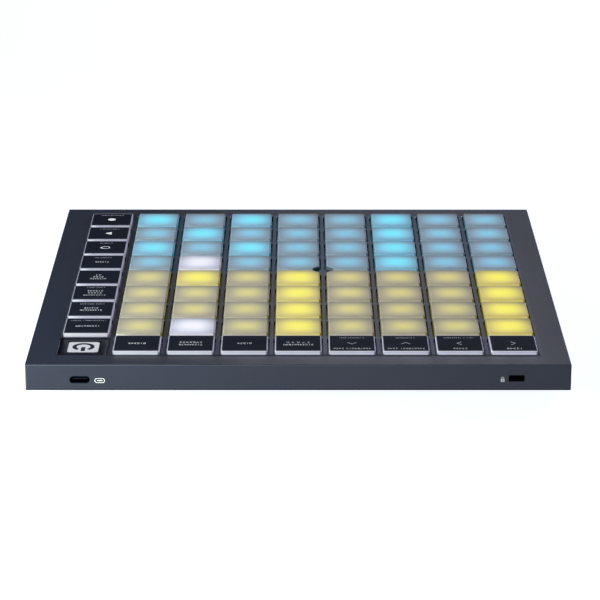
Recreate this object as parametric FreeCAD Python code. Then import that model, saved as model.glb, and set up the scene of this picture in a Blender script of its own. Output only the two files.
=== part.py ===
import FreeCAD, Part
import math
import os

# Square pad controller, in millimetres. +Z is up and z = 0 is the surface it
# stands on. The origin is the bottom centre. The player sits at -Y and looks
# along +Y, so +X is the player's right. The rear wall, with the USB-C socket
# and the lock slot, is at +Y.

V = FreeCAD.Vector
os.makedirs("parts", exist_ok=True)

# ---------------------------------------------------------------- dimensions
BODY = 241.0            # case width and depth
BODY_R = 0.5            # plan radius of the case corners
FOOT_H = 3.2            # feet below the base
WALL_H = 12.0           # base underside to panel top
KEY_PROUD = 1.8         # keys above the panel

Z_BASE = FOOT_H
Z_PANEL = FOOT_H + WALL_H
Z_KEY = Z_PANEL + KEY_PROUD

WALL = 2.0              # side wall thickness
PANEL = 2.0             # panel thickness
EDGE_R = 0.35           # round on the panel's outer edge
LOW_EDGE_R = 0.2        # round on the walls' lower edge
BASE_GAP = 0.2          # between the walls and the base cover set in them

PITCH = 24.1            # key to key, both ways
N = 9                   # keys along each side of the grid
KEY = 20.8              # cap width
KEY_R = 1.0             # plan radius of the cap corners
OPENING = 22.1          # opening width
OPENING_R = 1.1
FLARE = 0.2             # small chamfer round each opening
PAD_TOP_R = 0.8         # round on a pad's rim
FKEY_TOP_R = 0.5        # round on a function key's rim
CENTRE_CUT = 3.1        # cut corner of the four middle pads

FLANGE = 22.9           # flange that stops the key under the panel
FLANGE_T = 0.9
FLANGE_GAP = 0.2        # under the panel
FLANGE_CUT = 2.0        # cut corners, room for the screw posts
PLUNGER = 17.2          # square ring that presses the film
PLUNGER_IN = 12.0       # light well inside it
TRAVEL = 1.0            # key travel
PRESS_GAP = 0.15        # plunger to film with the key fully down
WELL_TOP = 13.4         # ceiling of the light well

BOARD_Z = 7.2           # underside of the board
BOARD_T = 1.6
BOARD = 232.0
FILM_T = 0.25
FILM = 230.0
WEB_T = 1.2
WEB_OPENING = 18.2

LED = (3.5, 2.8, 1.0)
FILM_HOLE = 5.2

SCREW_R = 1.1
SCREW_HEAD_R = 2.2
SCREW_HEAD_H = 1.3
PILOT_R = 0.95
EDGE_POST_R = 2.75      # posts along the edges
INNER_POST_R = 1.85     # posts between the keys
EDGE_POST = 112.6

USB_X = 96.4
USB_Z = 8.1
USB_SLOT = (8.8, 3.0)   # opening in the rear wall
USB_SHELL = (8.94, 3.16)
USB_SHELL_T = 0.3
USB_FRONT = 119.6       # front of the socket's shell
USB_LEN = 7.3

LOCK_X = -96.4
LOCK_Z = 8.8
LOCK_SLOT = (7.0, 3.0)
LOCK_PLATE = (16.0, 1.2, 6.2)

WINDOW = 21.8           # dark frame in the corner opening
WINDOW_DROP = 0.3       # below the panel
LIGHT = 13.7            # lit plate in the frame
LIGHT_R = 1.3

FOOT_R = 8.0
FOOT_POS = 98.0
FOOT_SEAT = 0.6         # depth of the foot's seat in the base

Z_CEIL = Z_PANEL - PANEL
Z_BOARD_TOP = BOARD_Z + BOARD_T
Z_FILM_TOP = Z_BOARD_TOP + FILM_T
Z_WEB_TOP = Z_FILM_TOP + WEB_T
Z_FLANGE_TOP = Z_CEIL - FLANGE_GAP
Z_FLANGE = Z_FLANGE_TOP - FLANGE_T
Z_PLUNGER = Z_FILM_TOP + TRAVEL + PRESS_GAP
HALF = BODY / 2.0

GRID = [(i - (N - 1) / 2.0) * PITCH for i in range(N)]  # -96.4 ... +96.4


# ------------------------------------------------------------------- helpers
def flat(x, y, z=0.0):
    return V(x, y, z)


def outline(points, radius, to3=flat):
    """A closed wire through convex corner points (anticlockwise), rounded."""
    n = len(points)
    radii = radius if isinstance(radius, (list, tuple)) else [radius] * n
    ends = []
    for i in range(n):
        (ax, ay), (bx, by), (cx, cy) = points[i - 1], points[i], points[(i + 1) % n]
        ux, uy = ax - bx, ay - by
        wx, wy = cx - bx, cy - by
        lu, lw = math.hypot(ux, uy), math.hypot(wx, wy)
        ux, uy, wx, wy = ux / lu, uy / lu, wx / lw, wy / lw
        r = radii[i]
        if r <= 0:
            ends.append(((bx, by), None, (bx, by)))
            continue
        half = math.acos(max(-1.0, min(1.0, ux * wx + uy * wy))) / 2.0
        t = r / math.tan(half)
        mx, my = ux + wx, uy + wy
        lm = math.hypot(mx, my)
        reach = r / math.sin(half) - r
        ends.append((
            (bx + ux * t, by + uy * t),
            (bx + mx / lm * reach, by + my / lm * reach),
            (bx + wx * t, by + wy * t),
        ))
    edges = []
    for i in range(n):
        start, mid, end = ends[i]
        if mid is not None:
            edges.append(Part.Arc(to3(*start), to3(*mid), to3(*end)).toShape())
        nxt = ends[(i + 1) % n][0]
        if math.hypot(nxt[0] - end[0], nxt[1] - end[1]) > 1e-7:
            edges.append(Part.LineSegment(to3(*end), to3(*nxt)).toShape())
    return Part.Wire(edges)


def square(w, d=None, cx=0.0, cy=0.0):
    d = w if d is None else d
    return [(cx - w / 2, cy - d / 2), (cx + w / 2, cy - d / 2),
            (cx + w / 2, cy + d / 2), (cx - w / 2, cy + d / 2)]


def cut_square(w, cuts, cx=0.0, cy=0.0):
    """A square with corners cut at 45 degrees. cuts gives each corner's leg, from (-x, -y) anticlockwise."""
    h = w / 2
    a, b, c, d = cuts
    pts = []
    pts += [(-h, -h + a), (-h + a, -h)] if a else [(-h, -h)]
    pts += [(h - b, -h), (h, -h + b)] if b else [(h, -h)]
    pts += [(h, h - c), (h - c, h)] if c else [(h, h)]
    pts += [(-h + d, h), (-h, h - d)] if d else [(-h, h)]
    return [(x + cx, y + cy) for x, y in pts]


def prism(points, radius, z0, z1):
    wire = outline(points, radius, lambda x, y: V(x, y, z0))
    return Part.Face(wire).extrude(V(0, 0, z1 - z0))


def prism_y(points, radius, y0, y1):
    """points are (x, z), anticlockwise as seen from behind the rear wall or not."""
    wire = outline(points, radius, lambda x, z: V(x, y0, z))
    return Part.Face(wire).extrude(V(0, y1 - y0, 0))


def box(x0, y0, z0, x1, y1, z1):
    return Part.makeBox(x1 - x0, y1 - y0, z1 - z0, V(x0, y0, z0))


def rod(r, x, y, z0, z1):
    return Part.makeCylinder(r, z1 - z0, V(x, y, z0), V(0, 0, 1))


def edges_at(shape, axis, value):
    out = []
    for e in shape.Edges:
        vs = [getattr(v, axis) for v in (vx.Point for vx in e.Vertexes)]
        mid = getattr(e.valueAt((e.FirstParameter + e.LastParameter) / 2), axis)
        if all(abs(v - value) < 1e-6 for v in vs + [mid]):
            out.append(e)
    return out


def moved(shape, x=0.0, y=0.0, z=0.0):
    s = shape.copy()
    s.translate(V(x, y, z))
    return s


def clean(shape):
    s = shape.removeSplitter()
    if s.ShapeType == "Compound" and len(s.Solids) == 1:
        s = s.Solids[0]
    return s


def save(name, shape):
    if not isinstance(shape, list):
        shape = [shape]
    solids = [s for sh in shape for s in sh.Solids]
    out = solids[0] if len(solids) == 1 else Part.makeCompound(solids)
    out.exportStep("parts/%s.step" % name)
    b = out.BoundBox
    print("%-20s solids %3d faces %5d valid %s  x %.2f..%.2f y %.2f..%.2f z %.2f..%.2f vol %.1f" % (
        name, len(solids), len(out.Faces), all(s.isValid() for s in solids),
        b.XMin, b.XMax, b.YMin, b.YMax, b.ZMin, b.ZMax, sum(s.Volume for s in solids)))


# ------------------------------------------------- where keys and posts stand
LAST = GRID[-1]
CORNER = (LAST, LAST)                                   # corner window
PADS = {(c, r): (GRID[c], GRID[r]) for r in range(8) for c in range(8)}
REAR_KEYS = [(GRID[c], LAST) for c in range(8)]         # left to right for the player
SIDE_KEYS = [(LAST, GRID[r]) for r in range(7, -1, -1)]  # rear to front
MID = -PITCH / 2                                        # middle of the pad field
EDGE_POSTS = [(sx * EDGE_POST, sy * EDGE_POST)
              for sx, sy in ((-1, -1), (0, -1), (1, -1), (-1, 0), (1, 0), (-1, 1), (0, 1), (1, 1))]
Q = 2.5 * PITCH                                         # 60.25, a crossing between keys
INNER_POSTS = [(MID, MID), (-Q, -Q), (Q, -Q), (-Q, Q), (Q, Q)]
POSTS = EDGE_POSTS + INNER_POSTS


def centre_corner(x, y):
    """Which corner of a key faces the middle of the pad field: 0..3 from (-x, -y) anticlockwise, or None."""
    if abs(abs(x - MID) - PITCH / 2) > 1e-6 or abs(abs(y - MID) - PITCH / 2) > 1e-6:
        return None
    if x > MID:
        return 0 if y > MID else 3
    return 1 if y > MID else 2


# The cut corner keeps the same gap as the straight sides.
OPENING_CUT = CENTRE_CUT + (OPENING - KEY) / 2 * (2 - math.sqrt(2))
CENTRE_FLANGE_CUT = OPENING_CUT + 0.4 * (2 - math.sqrt(2))


def legs(corner, leg, other=0.0):
    out = [other] * 4
    if corner is not None:
        out[corner] = leg
    return out


# --------------------------------------------------------------------- keys
def key_at_origin(top_r, corner=None):
    cap = prism(cut_square(KEY, legs(corner, CENTRE_CUT)), KEY_R, Z_FLANGE, Z_KEY)
    cap = cap.makeFillet(top_r, edges_at(cap, "z", Z_KEY))
    flange = prism(cut_square(FLANGE, legs(corner, CENTRE_FLANGE_CUT, FLANGE_CUT)), 0.3,
                   Z_FLANGE, Z_FLANGE_TOP)
    plunger = prism(square(PLUNGER), 1.5, Z_PLUNGER, Z_FLANGE + 0.2)
    key = cap.fuse([flange, plunger])
    well = prism(square(PLUNGER_IN), 1.0, Z_PLUNGER - 0.5, WELL_TOP)
    return clean(key.cut(well))


pad = {corner: key_at_origin(PAD_TOP_R, corner) for corner in (None, 0, 1, 2, 3)}
fkey = key_at_origin(FKEY_TOP_R)


def pad_at(x, y):
    return moved(pad[centre_corner(x, y)], x, y)


# Pads stand in pairs side by side. Rows run from the player (1) to the rear
# (8), and columns from the player's left (1) to the right (8).
for r in range(8):
    for c in range(0, 8, 2):
        save("pads_r%d_c%d%d" % (r + 1, c + 1, c + 2),
             [pad_at(*PADS[c, r]), pad_at(*PADS[c + 1, r])])

for i, (x, y) in enumerate(REAR_KEYS):
    save("rear_key_%d" % (i + 1), moved(fkey, x, y))
for i, (x, y) in enumerate(SIDE_KEYS):
    save("side_key_%d" % (i + 1), moved(fkey, x, y))


# ----------------------------------------------------------------- top case
def opening_tool(corner):
    """A key opening: straight walls, and a small flare at the panel's top."""
    straight = prism(cut_square(OPENING, legs(corner, OPENING_CUT)), OPENING_R,
                     Z_CEIL - 0.5, Z_PANEL + 0.5)
    wide = prism(cut_square(OPENING + 2 * FLARE, legs(corner, OPENING_CUT + FLARE * (2 - math.sqrt(2)))),
                 OPENING_R + FLARE, Z_PANEL - FLARE, Z_PANEL + 0.5)
    wide = wide.makeChamfer(FLARE, edges_at(wide, "z", Z_PANEL - FLARE))
    return clean(straight.fuse(wide))


tools = {corner: opening_tool(corner) for corner in (None, 0, 1, 2, 3)}

case = prism(square(BODY), BODY_R, Z_BASE, Z_PANEL)
case = case.makeFillet(EDGE_R, edges_at(case, "z", Z_PANEL))
case = case.makeFillet(LOW_EDGE_R, edges_at(case, "z", Z_BASE))
case = case.cut(prism(square(BODY - 2 * WALL), 0.6, Z_BASE - 1, Z_CEIL))

posts = [rod(EDGE_POST_R, x, y, Z_BOARD_TOP, Z_CEIL + 0.5) for x, y in EDGE_POSTS]
posts += [rod(INNER_POST_R, x, y, Z_BOARD_TOP, Z_CEIL + 0.5) for x, y in INNER_POSTS]
# each edge post is tied to the panel by two low webs
for x, y in EDGE_POSTS:
    if y == 0:
        posts.append(box(x - 0.5, y - 7, Z_CEIL - 1.6, x + 0.5, y + 7, Z_CEIL + 0.5))
    if x == 0:
        posts.append(box(x - 7, y - 0.5, Z_CEIL - 1.6, x + 7, y + 0.5, Z_CEIL + 0.5))
# rails that hold the lock plate against the rear wall
inner = HALF - WALL
px, py, pz = LOCK_PLATE
for s in (-1, 1):
    a, b = sorted((LOCK_X + s * (px / 2 + 0.1), LOCK_X + s * (px / 2 + 1.6)))
    posts.append(box(a, inner - 2.7, Z_BASE + 2.4, b, inner + 0.5, Z_CEIL + 0.5))
    a, b = sorted((LOCK_X + s * (px / 2 - 0.9), LOCK_X + s * (px / 2 + 0.6)))
    posts.append(box(a, inner - 2.7, Z_BASE + 2.4, b, inner - py - 0.1, Z_CEIL + 0.5))
case = case.fuse(posts)

cuts = [moved(tools[centre_corner(x, y)], x, y) for x, y in list(PADS.values()) + REAR_KEYS + SIDE_KEYS]
cuts.append(moved(tools[None], *CORNER))
cuts += [rod(PILOT_R, x, y, Z_BOARD_TOP - 0.5, Z_CEIL - 0.4) for x, y in POSTS]

# USB-C: a narrow slot in the wall's skin, with a fine lip, and a pocket behind it
w, h = USB_SLOT
cuts.append(prism_y(square(w, h, USB_X, USB_Z), h / 2 - 0.001, inner - 0.5, HALF + 0.5))
lip = prism_y(square(w + 0.5, h + 0.5, USB_X, USB_Z), h / 2 + 0.249, HALF - 0.25, HALF + 0.5)
cuts.append(lip.makeChamfer(0.249, edges_at(lip, "y", HALF - 0.25)))
w, h = USB_SHELL
cuts.append(prism_y(square(w + 0.4, h + 0.4, USB_X, USB_Z), h / 2 + 0.199, inner - 0.5, USB_FRONT + 0.1))

w, h = LOCK_SLOT
cuts.append(prism_y(square(w, h, LOCK_X, LOCK_Z), 0.3, inner - 0.5, HALF + 0.5))

case = clean(case.cut(cuts))
save("top_case", case)

# --------------------------------------------------------------- base cover
PLATE = BODY - 2 * WALL - 2 * BASE_GAP
plate = prism(square(PLATE), 0.4, Z_BASE, Z_BASE + 2.0)
base = plate.makeChamfer(0.25, edges_at(plate, "z", Z_BASE))
up = prism(square(PLATE), 0.4, Z_BASE + 1.5, Z_BASE + 3.0).cut(
    prism(square(PLATE - 2.4), 0.4, Z_BASE + 1.0, Z_BASE + 3.5))
up = up.cut([
    box(USB_X - 7.0, HALF - 8, Z_BASE + 2.0, USB_X + 7.0, HALF, Z_BASE + 4),
    box(LOCK_X - 10.2, HALF - 8, Z_BASE + 2.0, LOCK_X + 10.2, HALF, Z_BASE + 4),
])
base = base.fuse(up)
pillars = [rod(3.5, x, y, Z_BASE + 1.5, BOARD_Z) for x, y in POSTS]
REST_POSTS = [(x, y) for x in (-84.35, 84.35) for y in (-12.05, 60.25, -84.35)]
REST_POSTS += [(x, y) for x in (-12.05,) for y in (-84.35, 60.25)]
pillars += [rod(2.0, x, y, Z_BASE + 1.5, BOARD_Z) for x, y in REST_POSTS]
# low stiffening ribs on the inside of the plate
for v in (-72.3, -24.1, 24.1, 72.3):
    pillars.append(box(-114, v - 0.6, Z_BASE + 1.5, 114, v + 0.6, Z_BASE + 2.5))
    pillars.append(box(v - 0.6, -114, Z_BASE + 1.5, v + 0.6, 114, Z_BASE + 2.5))
base = base.fuse(pillars)
base = base.cut(
    [rod(2.4, x, y, Z_BASE - 0.5, Z_BASE + 1.8) for x, y in POSTS]
    + [rod(SCREW_R + 0.2, x, y, Z_BASE + 1.5, BOARD_Z + 0.5) for x, y in POSTS]
    + [rod(FOOT_R + 0.05, sx * FOOT_POS, sy * FOOT_POS, Z_BASE - 0.5, Z_BASE + FOOT_SEAT)
       for sx in (-1, 1) for sy in (-1, 1)]
)
save("base_cover", clean(base))

# -------------------------------------------------------------- rubber feet
foot = Part.makeCylinder(FOOT_R, FOOT_H + FOOT_SEAT)
foot = foot.makeFillet(0.7, edges_at(foot, "z", 0.0))
save("rubber_feet", [moved(foot, sx * FOOT_POS, sy * FOOT_POS) for sx in (-1, 1) for sy in (-1, 1)])

# -------------------------------------------------------------- case screws
head_z = Z_BASE + 1.8
head = Part.makeCylinder(SCREW_HEAD_R, SCREW_HEAD_H, V(0, 0, head_z - SCREW_HEAD_H))
head = head.makeFillet(0.35, edges_at(head, "z", head_z - SCREW_HEAD_H))
tip = head_z + 7.0
shank = Part.makeCylinder(SCREW_R, tip - 0.8 - head_z + 0.2, V(0, 0, head_z - 0.2))
point = Part.makeCone(SCREW_R, 0.45, 0.8, V(0, 0, tip - 0.8))
screw = head.fuse([shank, point])
low = head_z - SCREW_HEAD_H
screw = screw.cut([box(-1.15, -0.3, low - 0.1, 1.15, 0.3, low + 0.75),
                   box(-0.3, -1.15, low - 0.1, 0.3, 1.15, low + 0.75)])
screw = clean(screw)
save("case_screws", [moved(screw, x, y) for x, y in POSTS])

# --------------------------------------------------------------- main board
usb_notch = box(USB_X - 4.68, USB_FRONT - USB_LEN - 0.2, 0, USB_X + 4.68, HALF, 20)
wide_usb_notch = box(USB_X - 6.8, 112.0, 0, USB_X + 6.8, HALF, 20)
lock_notch = box(LOCK_X - 10.2, 107.9, 0, LOCK_X + 10.2, HALF, 20)
board = prism(square(BOARD), 2.0, BOARD_Z, Z_BOARD_TOP)
board = board.cut([usb_notch, lock_notch] + [rod(SCREW_R + 0.2, x, y, 5, 12) for x, y in POSTS])
save("main_board", clean(board))

film = prism(square(FILM), 2.0, Z_BOARD_TOP, Z_FILM_TOP)
film = film.cut([wide_usb_notch, lock_notch]
                + [rod(EDGE_POST_R + 0.4, x, y, 5, 12) for x, y in EDGE_POSTS]
                + [rod(INNER_POST_R + 0.4, x, y, 5, 12) for x, y in INNER_POSTS]
                + [prism(square(FILM_HOLE, None, x, y), 0.6, 5, 12)
                   for x in GRID for y in GRID])
save("sensor_film", clean(film))

web = prism(square(FILM), 2.0, Z_FILM_TOP, Z_WEB_TOP)
web = web.cut([wide_usb_notch, lock_notch]
              + [rod(EDGE_POST_R + 0.45, x, y, 5, 12) for x, y in EDGE_POSTS]
              + [rod(INNER_POST_R + 0.45, x, y, 5, 12) for x, y in INNER_POSTS]
              + [prism(square(12.0 if (x, y) == CORNER else WEB_OPENING, None, x, y), 2.0, 5, 12)
                 for x in GRID for y in GRID])
save("keymat_web", clean(web))

# --------------------------------------------------------------------- LEDs
lx, ly, lz = LED
led = box(-lx / 2, -ly / 2, Z_BOARD_TOP, lx / 2, ly / 2, Z_BOARD_TOP + lz)
led = led.cut(rod(1.15, 0, 0, Z_BOARD_TOP + lz - 0.2, Z_BOARD_TOP + lz + 0.2))
save("key_leds", [moved(led, x, y) for y in GRID for x in GRID])


# -------------------------------------------------------------- board chips
def chip(cx, cy, w, d, h):
    body = box(cx - w / 2, cy - d / 2, BOARD_Z - h, cx + w / 2, cy + d / 2, BOARD_Z)
    return body.makeChamfer(min(0.15, h / 4), edges_at(body, "z", BOARD_Z - h))


chips = [chip(48.2, 84.3, 10.0, 10.0, 1.4)]                       # controller
chips.append(chip(60.5, 84.3, 3.2, 2.5, 0.8))                     # crystal
chips.append(chip(96.4, 84.3, 6.5, 3.5, 1.2))                     # regulator
chips.append(chip(96.4, 104.0, 2.9, 1.6, 1.1))                    # surge protection
chips.append(chip(12.0, 84.3, 5.0, 4.0, 1.0))                     # flash memory
chips += [chip(x, y, 7.0, 7.0, 0.9)                               # LED drivers
          for x, y in ((-48.2, 36.15), (48.2, 36.15), (-48.2, -36.15), (48.2, -36.15))]
chips += [chip(x, 92.8, 1.6, 0.8, 0.8) for x in (36.0, 39.5, 43.0, 53.5, 57.0)]
chips += [chip(x, 99.0, 2.0, 1.25, 0.9) for x in (84.3, 90.0, 102.5)]
save("board_chips", chips)

# ------------------------------------------------------------- USB-C socket
w, h = USB_SHELL
t = USB_SHELL_T
y1, y0 = USB_FRONT, USB_FRONT - USB_LEN
shell = prism_y(square(w, h, USB_X, USB_Z), h / 2 - 0.001, y0, y1)
shell = shell.cut(prism_y(square(w - 2 * t, h - 2 * t, USB_X, USB_Z), h / 2 - t - 0.001, y0 + 0.6, y1 + 1))
tongue = box(USB_X - 3.35, y0 + 0.4, USB_Z - 0.35, USB_X + 3.35, y1 - 0.8, USB_Z + 0.35)
wings = [box(min(USB_X + s * 4.2, USB_X + s * 6.2), y0 + 0.9, Z_BOARD_TOP,
             max(USB_X + s * 4.2, USB_X + s * 6.2), y0 + 3.7, Z_BOARD_TOP + 0.3) for s in (-1, 1)]
hollow = prism_y(square(w - 2 * t, h - 2 * t, USB_X, USB_Z), h / 2 - t - 0.001, y0 + 0.6, y1 + 1)
wings = [x.cut(hollow) for x in wings]
save("usb_c_socket", clean(shell.fuse([tongue] + wings)))

# -------------------------------------------------------- lock anchor plate
anchor = box(LOCK_X - px / 2, inner - py, LOCK_Z - pz / 2, LOCK_X + px / 2, inner, LOCK_Z + pz / 2)
anchor = anchor.cut(prism_y(square(LOCK_SLOT[0] + 0.2, LOCK_SLOT[1] + 0.2, LOCK_X, LOCK_Z), 0.3,
                            inner - py - 0.5, inner + 0.5))
save("lock_anchor_plate", clean(anchor))

# ------------------------------------------------------------ corner window
cx, cy = CORNER
z_top = Z_PANEL - WINDOW_DROP
frame = prism(square(WINDOW, None, cx, cy), 1.0, Z_CEIL - 1.0, z_top)
frame = frame.fuse(prism(square(23.2, None, cx, cy), 1.0, Z_CEIL - 1.0, Z_CEIL))
frame = clean(frame.cut(prism(square(LIGHT + 0.1, None, cx, cy), LIGHT_R + 0.05, Z_CEIL - 2, z_top + 1)))
lit = prism(square(LIGHT, None, cx, cy), LIGHT_R, Z_CEIL - 1.5, z_top)
lit = clean(lit.fuse(prism(square(LIGHT + 1.9, None, cx, cy), LIGHT_R, Z_CEIL - 1.8, Z_CEIL - 1.0)))
save("corner_window", [frame, lit])
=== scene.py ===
import math

import bmesh
import bpy
from mathutils import Matrix, Vector


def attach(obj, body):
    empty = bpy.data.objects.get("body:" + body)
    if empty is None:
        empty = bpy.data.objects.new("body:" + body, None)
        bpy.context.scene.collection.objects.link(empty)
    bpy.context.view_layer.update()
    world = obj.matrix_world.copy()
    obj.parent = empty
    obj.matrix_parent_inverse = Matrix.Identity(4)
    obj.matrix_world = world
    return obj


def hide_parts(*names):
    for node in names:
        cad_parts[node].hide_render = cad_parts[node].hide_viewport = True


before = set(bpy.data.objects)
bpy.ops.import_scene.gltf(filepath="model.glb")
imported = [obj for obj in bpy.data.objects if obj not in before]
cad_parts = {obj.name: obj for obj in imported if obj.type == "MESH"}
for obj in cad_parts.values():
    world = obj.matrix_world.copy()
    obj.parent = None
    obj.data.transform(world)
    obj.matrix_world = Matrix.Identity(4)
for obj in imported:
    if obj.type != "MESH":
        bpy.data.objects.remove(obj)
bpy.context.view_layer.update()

MM = 0.001

# ------------------------------------------------------------------ dimensions
PITCH = 24.1
KEY, KEY_R = 20.8, 1.0
PAD_RIM, FKEY_RIM = 0.8, 0.5
CENTRE_CUT = 3.1
FLANGE, FLANGE_CUT = 22.9, 2.0
PLUNGER, WELL = 17.2, 12.0
Z_PLUNGER, Z_FLANGE, Z_FLANGE_TOP, Z_WELL = 10.2, 12.1, 13.0, 13.4
Z_PANEL, Z_KEY = 15.2, 17.0
OPENING = 22.1
GRID = [(i - 4) * PITCH for i in range(9)]
LAST = GRID[-1]
MID = -PITCH / 2
DIAG = 2 - math.sqrt(2)
OPENING_CUT = CENTRE_CUT + (OPENING - KEY) / 2 * DIAG
CENTRE_FLANGE_CUT = OPENING_CUT + 0.4 * DIAG
N = 10                      # points round each corner


# -------------------------------------------------------------------- materials
class Nodes:
    """A Principled material that is built up from nodes."""

    def __init__(self, name):
        self.mat = bpy.data.materials.new(name)
        self.mat.use_nodes = True
        self.tree = self.mat.node_tree
        self.tree.nodes.clear()
        self.out = self.tree.nodes.new("ShaderNodeOutputMaterial")
        self.bsdf = self.tree.nodes.new("ShaderNodeBsdfPrincipled")
        self.tree.links.new(self.bsdf.outputs[0], self.out.inputs["Surface"])
        self.coord = self.tree.nodes.new("ShaderNodeTexCoord").outputs["Object"]
        self._xyz = None

    def put(self, socket, value):
        if isinstance(value, bpy.types.NodeSocket):
            self.tree.links.new(value, socket)
        elif isinstance(value, (tuple, list)) and len(value) == 3 and socket.type == "RGBA":
            socket.default_value = (*value, 1.0)
        else:
            socket.default_value = value

    def set(self, **values):
        for name, value in values.items():
            self.put(self.bsdf.inputs[name.replace("_", " ")], value)
        return self

    def math(self, operation, a, b=0.0, c=0.0, clamp=False):
        n = self.tree.nodes.new("ShaderNodeMath")
        n.operation, n.use_clamp = operation, clamp
        for socket, value in zip(n.inputs, (a, b, c)):
            self.put(socket, value)
        return n.outputs[0]

    def smooth(self, value, low, high, to_low=0.0, to_high=1.0):
        n = self.tree.nodes.new("ShaderNodeMapRange")
        n.interpolation_type = "SMOOTHSTEP"
        for name, v in (("Value", value), ("From Min", low), ("From Max", high), ("To Min", to_low), ("To Max", to_high)):
            self.put(n.inputs[name], v)
        return n.outputs[0]

    def span(self, value, low, high, to_low, to_high):
        n = self.tree.nodes.new("ShaderNodeMapRange")
        n.interpolation_type = "LINEAR"
        n.clamp = True
        for name, v in (("Value", value), ("From Min", low), ("From Max", high), ("To Min", to_low), ("To Max", to_high)):
            self.put(n.inputs[name], v)
        return n.outputs[0]

    def mix(self, factor, a, b, kind="MIX"):
        n = self.tree.nodes.new("ShaderNodeMix")
        n.data_type, n.blend_type = "RGBA", kind
        self.put(n.inputs[0], factor)
        self.put(n.inputs[6], a)
        self.put(n.inputs[7], b)
        return n.outputs[2]

    def times(self, colour, value):
        n = self.tree.nodes.new("ShaderNodeVectorMath")
        n.operation = "SCALE"
        self.put(n.inputs[0], colour)
        self.put(n.inputs["Scale"], value)
        return n.outputs[0]

    def at(self, scale=(1, 1, 1), shift=(0, 0, 0), turn=(0, 0, 0)):
        n = self.tree.nodes.new("ShaderNodeMapping")
        self.put(n.inputs["Vector"], self.coord)
        n.inputs["Scale"].default_value = scale
        n.inputs["Location"].default_value = shift
        n.inputs["Rotation"].default_value = turn
        return n.outputs[0]

    def noise(self, scale, detail=2.0, rough=0.5, vector=None, warp=0.0):
        n = self.tree.nodes.new("ShaderNodeTexNoise")
        self.put(n.inputs["Vector"], self.coord if vector is None else vector)
        n.inputs["Scale"].default_value = scale
        n.inputs["Detail"].default_value = detail
        n.inputs["Roughness"].default_value = rough
        n.inputs["Distortion"].default_value = warp
        return n.outputs["Fac"]

    def cells(self, scale, vector=None, feature="F1"):
        n = self.tree.nodes.new("ShaderNodeTexVoronoi")
        n.feature = feature
        self.put(n.inputs["Vector"], self.coord if vector is None else vector)
        n.inputs["Scale"].default_value = scale
        return n.outputs["Distance"]

    def bump(self, height, strength, distance, normal=None):
        n = self.tree.nodes.new("ShaderNodeBump")
        self.put(n.inputs["Height"], height)
        n.inputs["Strength"].default_value = strength
        n.inputs["Distance"].default_value = distance
        if normal is not None:
            self.put(n.inputs["Normal"], normal)
        return n.outputs[0]

    def axis(self, k):
        """Object coordinate x, y or z, in metres."""
        if self._xyz is None:
            n = self.tree.nodes.new("ShaderNodeSeparateXYZ")
            self.put(n.inputs[0], self.coord)
            self._xyz = n.outputs
        return self._xyz[k]

    def facing(self, k):
        """How far the surface faces along x, y or z, from -1 to 1."""
        g = self.tree.nodes.new("ShaderNodeNewGeometry")
        n = self.tree.nodes.new("ShaderNodeSeparateXYZ")
        self.put(n.inputs[0], g.outputs["Normal"])
        return n.outputs[k]


def key_place(m, signed=False):
    """Distance from the middle of the nearest key, in half key widths, along x and y, and which key it is."""
    out = []
    for k in (0, 1):
        steps = m.math("MULTIPLY", m.axis(k), 1 / (PITCH * MM))
        near = m.math("ROUND", steps)
        off = m.math("SUBTRACT", steps, near)
        if not signed:
            off = m.math("ABSOLUTE", off)
        out.append((m.math("MULTIPLY", off, PITCH / (KEY / 2)), near))
    return out


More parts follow.
